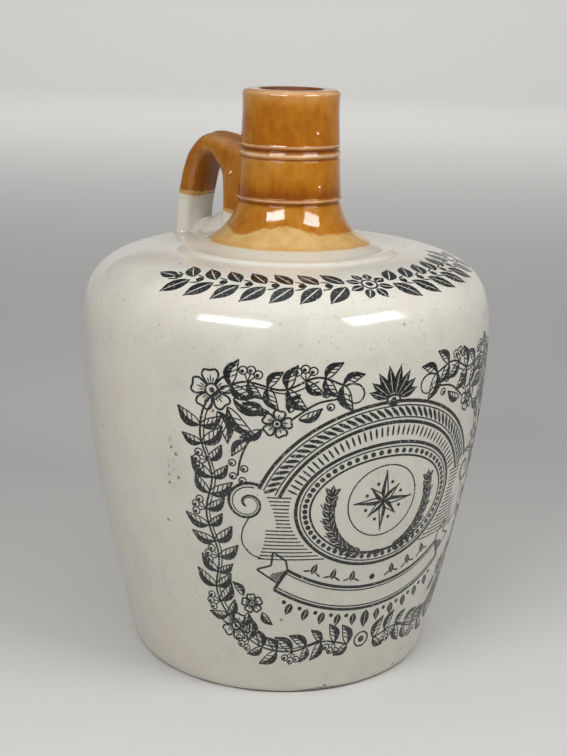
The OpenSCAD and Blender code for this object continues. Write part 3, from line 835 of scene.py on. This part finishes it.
right = vineStrokes() + sprayStrokes()
bodyStrokes = right + mirrored(right) + medallionStrokes() + archStrokes() + bannerStrokes()
pieces["print"] = ribbonMesh("transfer_print", bodyStrokes, printPlan["centreDeg"], printPlan["refR"],
    lengthAt("z", printPlan["middleZ"]))
pieces["garland"] = ribbonMesh("shoulder_garland", garlandStrokes(), printPlan["garlandDeg"],
    printPlan["garlandR"], lengthAt("r", printPlan["garlandR"]))


# Materials

def linearColour(code):
    # sRGB to linear: a twelfth below 0.04045, else the power 2.4 of the value plus 0.055 over 1.055
    c = np.array([int(code[k:k + 2], 16) for k in (1, 3, 5)]) / 255
    c = np.where(c <= 0.04045, c / 12.92, ((c + 0.055) / 1.055) ** 2.4)
    return (*[float(x) for x in c], 1.0)


def addNode(tree, kind, inputs=(), out=0, stops=(), **settings):
    # adds one node: settings are its properties, inputs link a socket or give it a number or a colour, stops
    # are the places and colours of its ramp; returns the output with this name or number
    node = tree.nodes.new(kind)
    for name, value in settings.items():
        setattr(node, name, value)
    for name, value in dict(inputs).items():
        if isinstance(value, bpy.types.NodeSocket):
            tree.links.new(value, node.inputs[name])
        else:
            node.inputs[name].default_value = linearColour(value) if isinstance(value, str) else value
    for k, (place, value) in enumerate(stops):
        element = node.color_ramp.elements[k] if k < 2 else node.color_ramp.elements.new(place)
        element.position = place
        element.color = linearColour(value) if isinstance(value, str) else (value, value, value, 1.0)
    return node.outputs[out] if node.outputs else node


def newMaterial(name):
    # an empty material and what adds a node to it
    material = bpy.data.materials.new(name)
    material.use_nodes = True
    material.node_tree.nodes.clear()
    return material, partial(addNode, material.node_tree)


# in the looks, what ends in Mm is the size of a pattern, and a span is where a share starts and is full; here
# stand what every coat of glaze has: its IOR, the heights of its bumps in mm and its rough patches' span
coat = {"ior": 1.56, "wave": 0.05, "peel": 0.007, "ring": 0.012, "ringMm": 1.7, "driftSpan": (0.35, 0.65)}
creamLook = {
    # the fifth colour on the next line is painted shade at the joints and the pad's streaks
    "warm": "#dad3c7", "clear": "#dad7cb", "green": "#d4d2c6", "smudge": "#bfb9ad", "jointShadeAndStreaks": "#857a6c",
    "speck": "#3f352c", "halo": "#9c8c78", "clay": "#b3a898", "clayDark": "#5a5147",
    "patchMm": 22, "smudgeMm": 9, "clayMm": 1.3, "roughness": (0.07, 0.16),
    "driftMm": 16, "waveMm": 14, "peelMm": 1.6,
    # specks as cell size in mm, radius as a share of it, share of cells left out, and strength
    "specks": ((4.2, 0.08, 0.45, 0.45), (6.5, 0.075, 0.68, 0.95), (2.4, 0.09, 0.75, 0.35),
        (2.2, 0.28, 1.2, 1.0)),   # this last one only in the trail
    # how far and how finely their outlines bend, the width of their groups, how strongly they gather there
    # and in the trail, and the width of their halos in radii, with its strength as a share
    "bend": 0.9, "bendMm": 1.1, "groupMm": 17, "gather": 1.5, "trailGather": 0.6,
    "haloWide": 2.1, "haloShare": 0.3,
}
amberLook = {
    # the fifth colour on the next line is pooled glaze, and painted shade inside the mouth
    "dark": "#8a4a04", "amber": "#a8640f", "gold": "#b87820", "light": "#c08840", "poolAndMouthShade": "#6f3402",
    "crest": "#ecc8a6", "crestWarm": "#cc9258", "tan": "#cfa563", "tanLight": "#d6b275", "tanDeep": "#c39552",
    # the second colour on the next line is painted light on the handle's cream
    "stain": "#cbb896", "paintedLightPale": "#ece8de", "runMm": 2.4, "mottleMm": 6, "cloudMm": 15,
    "toneSpan": (1.2, 2.85), "brownSpan": (1.7, 2.35), "dipSpan": (0.2, 0.48),   # of the sums of the patterns
    "deepSpan": (1.3, 0.2), "stainSpan": (-2.6, 0.0),   # heights in mm over the dip's edge
    "deepShare": 0.55, "stainShare": 0.5, "poolAndMouthShadeShare": 0.8,
    "roughness": (0.05, 0.11), "driftMm": 8, "waveMm": 7, "peelMm": 1.2,
}
inkLook = {
    "ink": "#0c0e10", "worn": "#2b2e31", "bare": "#a5a298", "pinholeMm": 0.8, "wornMm": 11,
    "roughness": (0.08, 0.2), "driftMm": 16, "waveMm": 14, "peelMm": 1.6,
}


def layered(add, colour, layers):
    # a colour with others laid over it in turn, each by its own share
    for share, upper in layers:
        colour = add("ShaderNodeMix", {0: share, 6: colour, 7: upper}, 2, data_type="RGBA")
    return colour


def creamColour(add, place):
    # patches from warm to greenish white, faint smudges, and iron specks of three sizes with halos, in groups
    look = creamLook
    patch, smudge, bend, group = (add("ShaderNodeTexNoise",
        {"Vector": place, "Scale": 1000 / look[size], "Detail": detail, "Roughness": rough}, out)
        for size, detail, rough, out in (("patchMm", 4.0, 0.6, 0), ("smudgeMm", 6.0, 0.7, 0),
            ("bendMm", 2.0, 0.5, "Color"), ("groupMm", 2.0, 0.5, 0)))
    colour = add("ShaderNodeValToRGB", {"Fac": patch},
        stops=((0.36, look["green"]), (0.64, look["warm"]), (0.5, look["clear"])))
    share = add("ShaderNodeValToRGB", {"Fac": smudge}, stops=((0.56, 0.0), (0.78, 0.5)))
    layers = [(share, look["smudge"])]
    bent = add("ShaderNodeVectorMath",
        {0: bend, 1: (look["bend"] * mm,) * 3, 2: place}, operation="MULTIPLY_ADD")
    trail = add("ShaderNodeAttribute", out="Fac", attribute_name="trail")
    group = add("ShaderNodeMath", {0: trail, 1: look["trailGather"], 2: group}, operation="MULTIPLY_ADD")
    for size, radius, left, strength in look["specks"]:
        near, chance = (add("ShaderNodeTexVoronoi", {"Vector": bent, "Scale": 1000 / size}, out)
            for out in ("Distance", "Color"))
        chance = add("ShaderNodeMath", {0: group, 1: look["gather"], 2: chance}, operation="MULTIPLY_ADD")
        chosen = add("ShaderNodeMath", {0: chance, 1: left + look["gather"] / 2}, operation="GREATER_THAN")
        for shade, wide, amount in (("halo", look["haloWide"], look["haloShare"]), ("speck", 1, 1)):
            disc = add("ShaderNodeMapRange", {"Value": near, "From Min": wide * radius,
                "From Max": wide * radius * 0.5, "To Max": amount * strength})
            disc = add("ShaderNodeMath", {0: disc, 1: chosen}, operation="MULTIPLY")
            layers.append((disc, look[shade]))
    return layered(add, colour, layers)


def coatOver(add, place, colour, look):
    # the glaze's surface: roughness that drifts where it melted more or less smoothly, and as bumps its slow
    # waves, the faint level rings of the potter's fingers and its orange peel
    drift = add("ShaderNodeTexNoise", {"Vector": place, "Scale": 1000 / look["driftMm"], "Detail": 3.0})
    rough = add("ShaderNodeMapRange", {"Value": drift, "From Min": coat["driftSpan"][0],
        "From Max": coat["driftSpan"][1], "To Min": look["roughness"][0], "To Max": look["roughness"][1]})
    level = add("ShaderNodeMapping", {"Vector": place, "Scale": (0.05, 0.05, 1.0)})
    normal = None
    for at, sizeMm, detail, height in ((place, look["waveMm"], 1.0, coat["wave"]),
            (level, coat["ringMm"], 2.0, coat["ring"]), (place, look["peelMm"], 2.0, coat["peel"])):
        bump = add("ShaderNodeTexNoise", {"Vector": at, "Scale": 1000 / sizeMm, "Detail": detail})
        under = {"Normal": normal} if normal else {}
        normal = add("ShaderNodeBump", {"Height": bump, "Distance": height * mm, **under})
    shader = add("ShaderNodeBsdfPrincipled",
        {"Base Color": colour, "IOR": coat["ior"], "Roughness": rough, "Normal": normal})
    add("ShaderNodeOutputMaterial", {"Surface": shader})


def makeCreamGlaze():
    # Bristol glaze, fired white over thrown stoneware: glossy and faintly cloudy, specked by the iron under
    # it, and wiped off the foot, where the bare grey clay shows
    material, add = newMaterial("bristolCreamGlaze")
    place = add("ShaderNodeTexCoord", out="Object")
    bare = add("ShaderNodeAttribute", out="Fac", attribute_name="bare")
    grain = add("ShaderNodeTexNoise", {"Vector": place, "Scale": 1000 / creamLook["clayMm"], "Detail": 4.0})
    ragged = add("ShaderNodeMath", {0: grain, 1: 0.7, 2: bare}, operation="MULTIPLY_ADD")
    clay = add("ShaderNodeValToRGB", {"Fac": grain},
        stops=((0.3, creamLook["clayDark"]), (0.6, creamLook["clay"])))
    share = add("ShaderNodeMapRange", {"Value": ragged, "From Min": 0.42, "From Max": 0.62})
    coatOver(add, place, layered(add, creamColour(add, place), [(share, clay)]), creamLook)
    return material


def makeDippedGlaze():
    # iron amber glaze dipped over the white one: brown where it is doubled, tan in one coat, darker where it
    # ran thick, darkest inside the mouth as painted shade, and pinkish where it drew thin over ridges and lip
    look = amberLook
    material, add = newMaterial("ironAmberDippedGlaze")
    place = add("ShaderNodeTexCoord", out="Object")
    dip, brown, thin, pooledAndMouthShade, gold, jointShadeAndStreaks, paintedLightPale = (add("ShaderNodeAttribute", out="Fac", attribute_name=label)
        for label in ("dip", "brown", "thin", "pooledAndMouthShade", "gold", "jointShadeAndStreaks", "paintedLightPale"))
    upright = add("ShaderNodeMapping", {"Vector": place, "Scale": (1.0, 1.0, 0.3)})
    runs, mottle, cloud = (add("ShaderNodeTexNoise",
        {"Vector": at, "Scale": 1000 / look[size], "Detail": detail, "Roughness": rough})
        for at, size, detail, rough in ((upright, "runMm", 4.0, 0.6), (place, "mottleMm", 5.0, 0.62),
            (place, "cloudMm", 3.0, 0.5)))
    # each value and its patterns by weight, as a share of a span: the tone, the brown over the tan, the dip
    # over the cream, and at the dip's edge the deeper tan above and the stain below
    shares = []
    for value, patterns, (low, high), most in (
            (gold, ((runs, 0.8), (mottle, 1.5), (cloud, 1.0)), look["toneSpan"], 1.0),
            (brown, ((runs, 2.2), (mottle, 1.8)), look["brownSpan"], 1.0),
            (dip, ((mottle, 0.7),), look["dipSpan"], 1.0),
            (dip, (), look["deepSpan"], look["deepShare"]), (dip, (), look["stainSpan"], look["stainShare"])):
        for pattern, weight in patterns:
            value = add("ShaderNodeMath", {0: pattern, 1: weight, 2: value}, operation="MULTIPLY_ADD")
        shares.append(add("ShaderNodeMapRange",
            {"Value": value, "From Min": low, "From Max": high, "To Max": most}))
    tone, browned, dipped, deep, stained = shares
    worn = add("ShaderNodeMapRange",
        {"Value": mottle, "From Min": 0.35, "From Max": 0.65, "To Min": 0.65, "To Max": 1.05})
    poolAndMouthShade, thin, shadeAndStreakShare = (add("ShaderNodeMath", {0: a, 1: b}, operation="MULTIPLY")
        for a, b in ((pooledAndMouthShade, look["poolAndMouthShadeShare"]), (thin, worn), (jointShadeAndStreaks, mottle)))
    amber = add("ShaderNodeValToRGB", {"Fac": tone}, stops=((0.1, look["dark"]), (0.95, look["light"]),
        (0.42, look["amber"]), (0.68, look["gold"])))
    tan = add("ShaderNodeValToRGB", {"Fac": mottle},
        stops=((0.32, look["tanDeep"]), (0.68, look["tanLight"]), (0.5, look["tan"])))
    crest = layered(add, look["crestWarm"], [(thin, look["crest"])])
    # the pool colour: pooled glaze, and painted shade inside the mouth
    amber = layered(add, amber, [(poolAndMouthShade, look["poolAndMouthShade"]), (thin, crest)])
    coats = layered(add, tan, [(deep, look["tanDeep"]), (browned, amber)])
    # over the cream: its stain, the handle's paler cream as painted light, and painted shade at the joints
    # with the pad's streaks
    cream = layered(add, creamColour(add, place),
        [(stained, look["stain"]), (paintedLightPale, look["paintedLightPale"]), (shadeAndStreakShare, creamLook["jointShadeAndStreaks"])])
    coatOver(add, place, layered(add, cream, [(dipped, coats)]), look)
    return material


def makePrintInk():
    # cobalt-black transfer ink under the glaze: dense, a little worn, with pinholes where it didn't take
    material, add = newMaterial("blackTransferInk")
    place = add("ShaderNodeTexCoord", out="Object")
    grain = add("ShaderNodeTexNoise", {"Vector": place, "Scale": 1000 / inkLook["pinholeMm"], "Detail": 3.0})
    patch = add("ShaderNodeTexNoise", {"Vector": place, "Scale": 1000 / inkLook["wornMm"], "Detail": 2.0})
    black = add("ShaderNodeValToRGB", {"Fac": patch},
        stops=((0.42, inkLook["ink"]), (0.75, inkLook["worn"])))
    holes = add("ShaderNodeValToRGB", {"Fac": grain}, stops=((0.6, 0.0), (0.68, 0.8)))
    coatOver(add, place, layered(add, black, [(holes, inkLook["bare"])]), inkLook)
    return material


creamGlaze, dippedGlaze, printInk = makeCreamGlaze(), makeDippedGlaze(), makePrintInk()
dippedPieces, printedPieces = ("neck", "handle", "pad"), ("print", "garland")
for key, piece in pieces.items():
    glaze = dippedGlaze if key in dippedPieces else printInk if key in printedPieces else creamGlaze
    piece.data.materials.append(glaze)
    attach(piece, "root")
print("stage: glazes made")


# Floor, light and camera

studio = {
    "floorRings": (40.0, 300.0, 1200.0), "floorR": 3200.0, "coveR": 1100.0, "floorGap": 0.02,
    "floorSteps": 96, "floor": "#dddcd9", "world": "#f2f3f5", "worldStrength": 0.2,
}
softboxes = {
    # each lamp: place, what it looks at, size and power
    "leftSoftbox": ((-153, -279, 341), (0, -20, 140), (230, 68), 0.75),
    "rightSoftbox": ((230, -180, 339), (0, -20, 140), (180, 90), 0.62),
    "overheadSoftbox": ((0, 60, 1500), (0, 60, 0), (1600, 1600), 4.0),
    "backdropSoftbox": ((0, 2000, 2200), (0, 4200, 100), (3200, 1600), 58.0),
}
view = {   # the camera fitted to the photograph's outline, in millimetres and degrees
    "azimuth": -50.0, "distance": 449.64, "height": 225.81, "pitch": 15.974, "yaw": -0.052, "roll": 1.381,
    "lens": 61.26, "sensor": 36.0, "clip": (0.01, 50),
}


def makeFloor():
    # a plain round sheet under the foot that turns up in a quarter round at its edge, far away
    around = studio["floorSteps"]
    ring = np.vstack([[(r, 0) for r in studio["floorRings"]],
        roundOf((studio["floorR"], studio["coveR"]), studio["coveR"], -90, 0, 24)]) - [0, studio["floorGap"]]
    theta = np.linspace(0, 2 * np.pi, around, endpoint=False)[None, :]
    r, z = ring[:, None, 0], ring[:, None, 1]
    points = np.stack([r * np.cos(theta), r * np.sin(theta), z + 0 * theta], -1).reshape(-1, 3)
    floor = newPiece("floor", points, ringFaces(len(ring), around) + [list(range(around))], True)
    material, add = newMaterial("mattPaperFloor")
    shader = add("ShaderNodeBsdfPrincipled", {"Base Color": studio["floor"], "Roughness": 0.9})
    add("ShaderNodeOutputMaterial", {"Surface": shader})
    floor.data.materials.append(material)


def turnedToCamera(place):
    # the fit has the camera on -y; turning by its azimuth puts a place in the jug's frame
    a = np.radians(view["azimuth"])
    x, y, z = place
    return Vector((x * np.cos(a) - y * np.sin(a), x * np.sin(a) + y * np.cos(a), z)) * mm


def makeSoftbox(name, place, target, size, power):
    # a rectangular area light turned to the place it looks at
    light = bpy.data.lights.new(name, "AREA")
    light.shape, light.size, light.size_y, light.energy = "RECTANGLE", size[0] * mm, size[1] * mm, power
    lamp = bpy.data.objects.new(name, light)
    lamp.location = turnedToCamera(place)
    aim = turnedToCamera(target) - lamp.location
    lamp.rotation_euler = aim.to_track_quat("-Z", "Y").to_euler()
    bpy.context.scene.collection.objects.link(lamp)


def makeCamera():
    # looks along the pitch and yaw, with its up turned by the roll
    pitch, yaw, roll = (np.radians(view[k]) for k in ("pitch", "yaw", "roll"))
    ahead = turnedToCamera(
        np.array((np.sin(yaw) * np.cos(pitch), np.cos(yaw) * np.cos(pitch), -np.sin(pitch))) / mm)
    right = turnedToCamera(np.array((np.cos(yaw), -np.sin(yaw), 0)) / mm)
    up = right.cross(ahead)
    rightTurned = np.cos(roll) * right + np.sin(roll) * up
    upTurned = -np.sin(roll) * right + np.cos(roll) * up
    data = bpy.data.cameras.new("camera")
    data.lens, data.sensor_width, data.sensor_fit = view["lens"], view["sensor"], "AUTO"
    data.clip_start, data.clip_end = view["clip"]
    camera = bpy.data.objects.new("camera", data)
    place = turnedToCamera((0, -view["distance"], view["height"]))
    turn = Matrix((rightTurned, upTurned, -ahead)).transposed().to_4x4()
    camera.matrix_world = Matrix.Translation(place) @ turn
    bpy.context.scene.collection.objects.link(camera)
    bpy.context.scene.camera = camera


def makeWorld():
    # an even pale glow all round
    world = bpy.data.worlds.new("world")
    world.use_nodes = True
    glow = world.node_tree.nodes["Background"].inputs
    glow["Color"].default_value = linearColour(studio["world"])
    glow["Strength"].default_value = studio["worldStrength"]
    bpy.context.scene.world = world


makeFloor()
for name, settings in softboxes.items():
    makeSoftbox(name, *settings)
makeCamera()
makeWorld()
bpy.context.scene.view_settings.view_transform = "Standard"
print("stage: floor, light and camera made")
